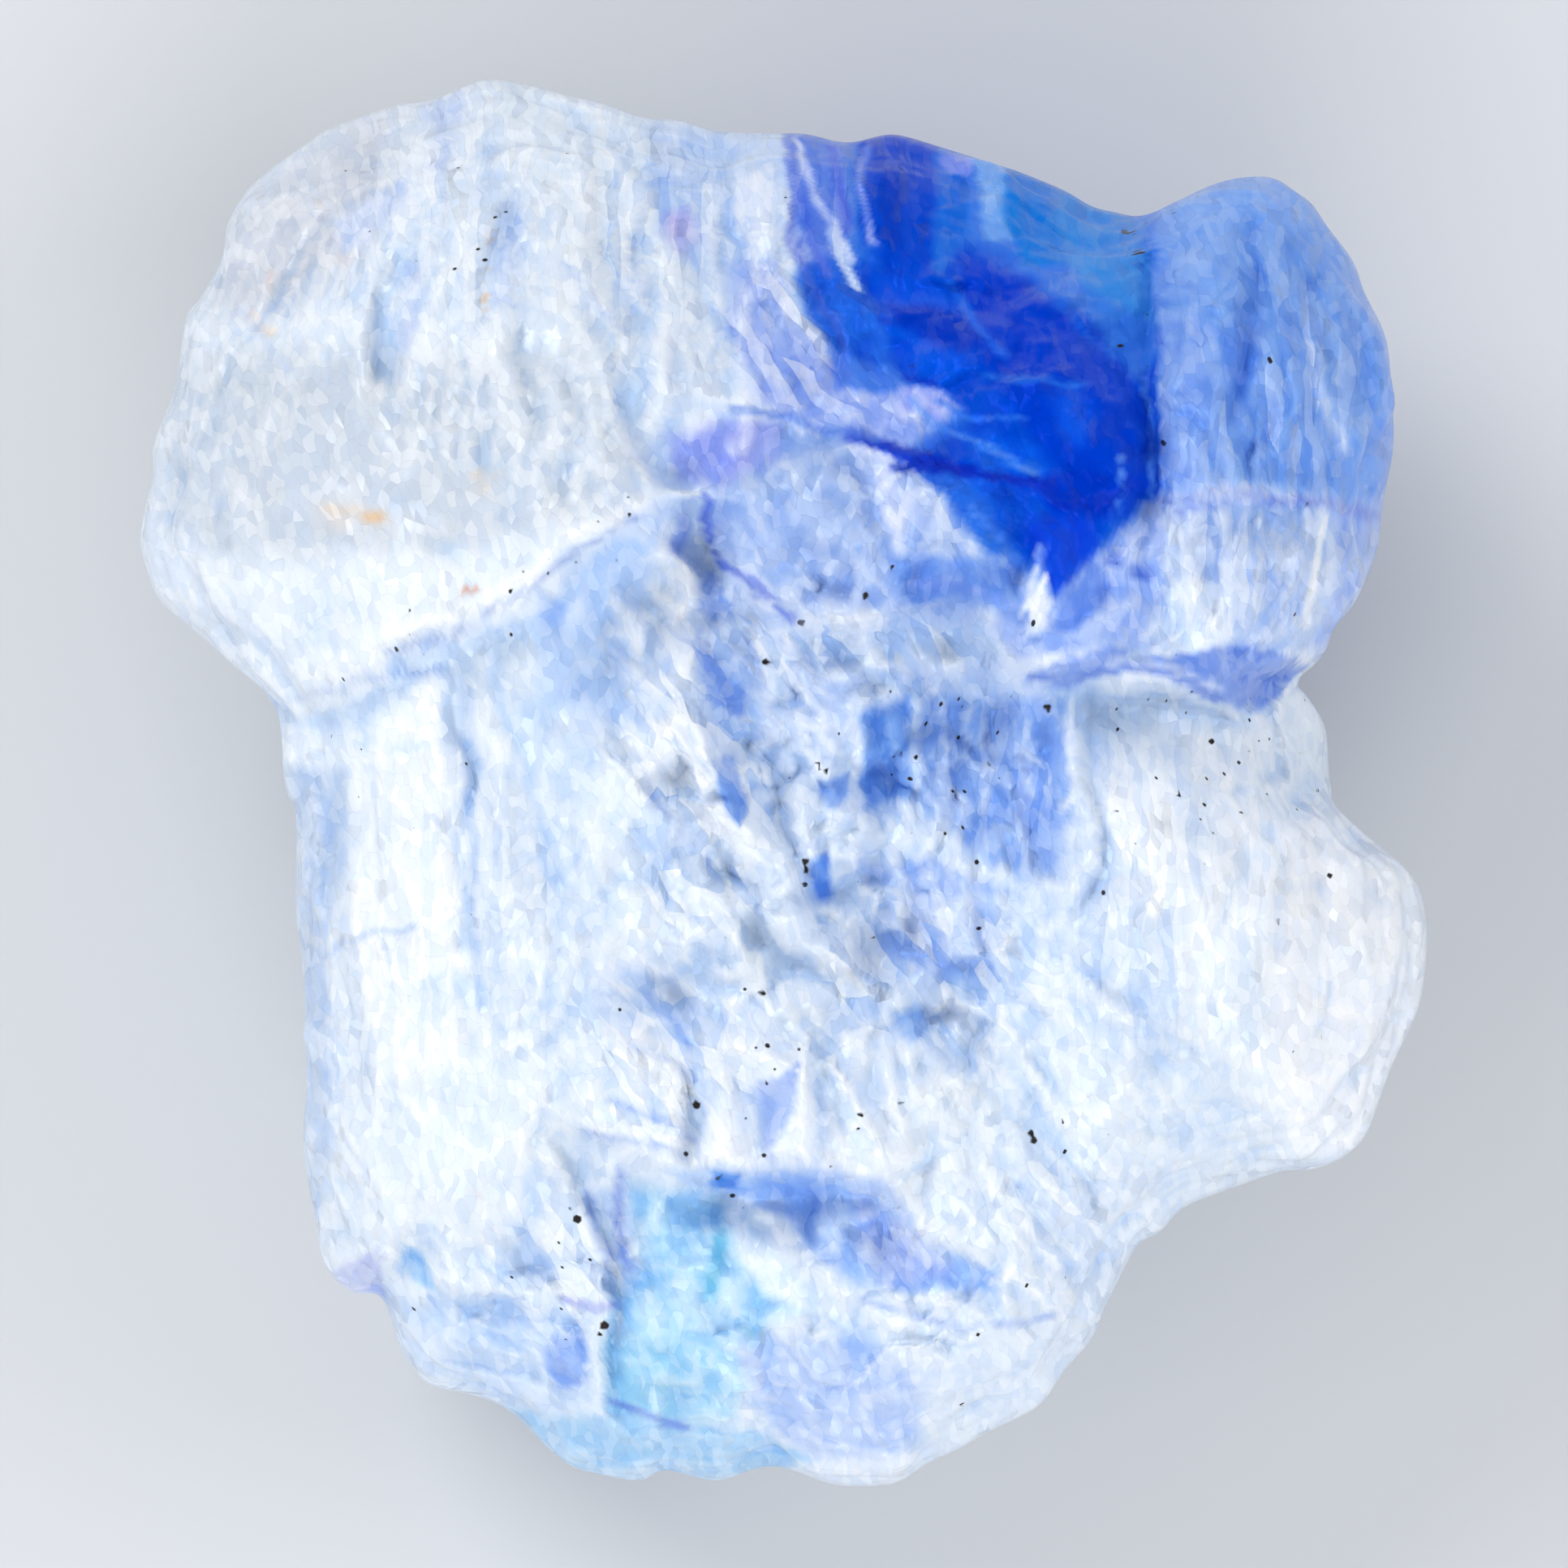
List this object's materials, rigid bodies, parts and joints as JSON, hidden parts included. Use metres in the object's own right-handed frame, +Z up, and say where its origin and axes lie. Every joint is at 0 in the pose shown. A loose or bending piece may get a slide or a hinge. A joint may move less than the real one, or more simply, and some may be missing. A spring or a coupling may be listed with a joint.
{
  "type": "rough blue halite specimen",
  "caption": "Rough piece of rock salt, icy white with a deep blue patch, domed and broken along its cleavage, lying on a small flat of its back.",
  "frame": {"origin": "on the ground the stone lies on, under the middle of its box", "axes": "+Z up, out of the broken face with the blue patch; +Y towards the domed end with the blue patch, along the longest side; +X towards the lobe and the side bulge"},
  "size_m": [0.0396, 0.0433, 0.0225],
  "materials": {
    "halite": "milky, glossy where cleaved"
  },
  "bodies": {
    "root": {"halite": "halite"}
  },
  "joints": []
}
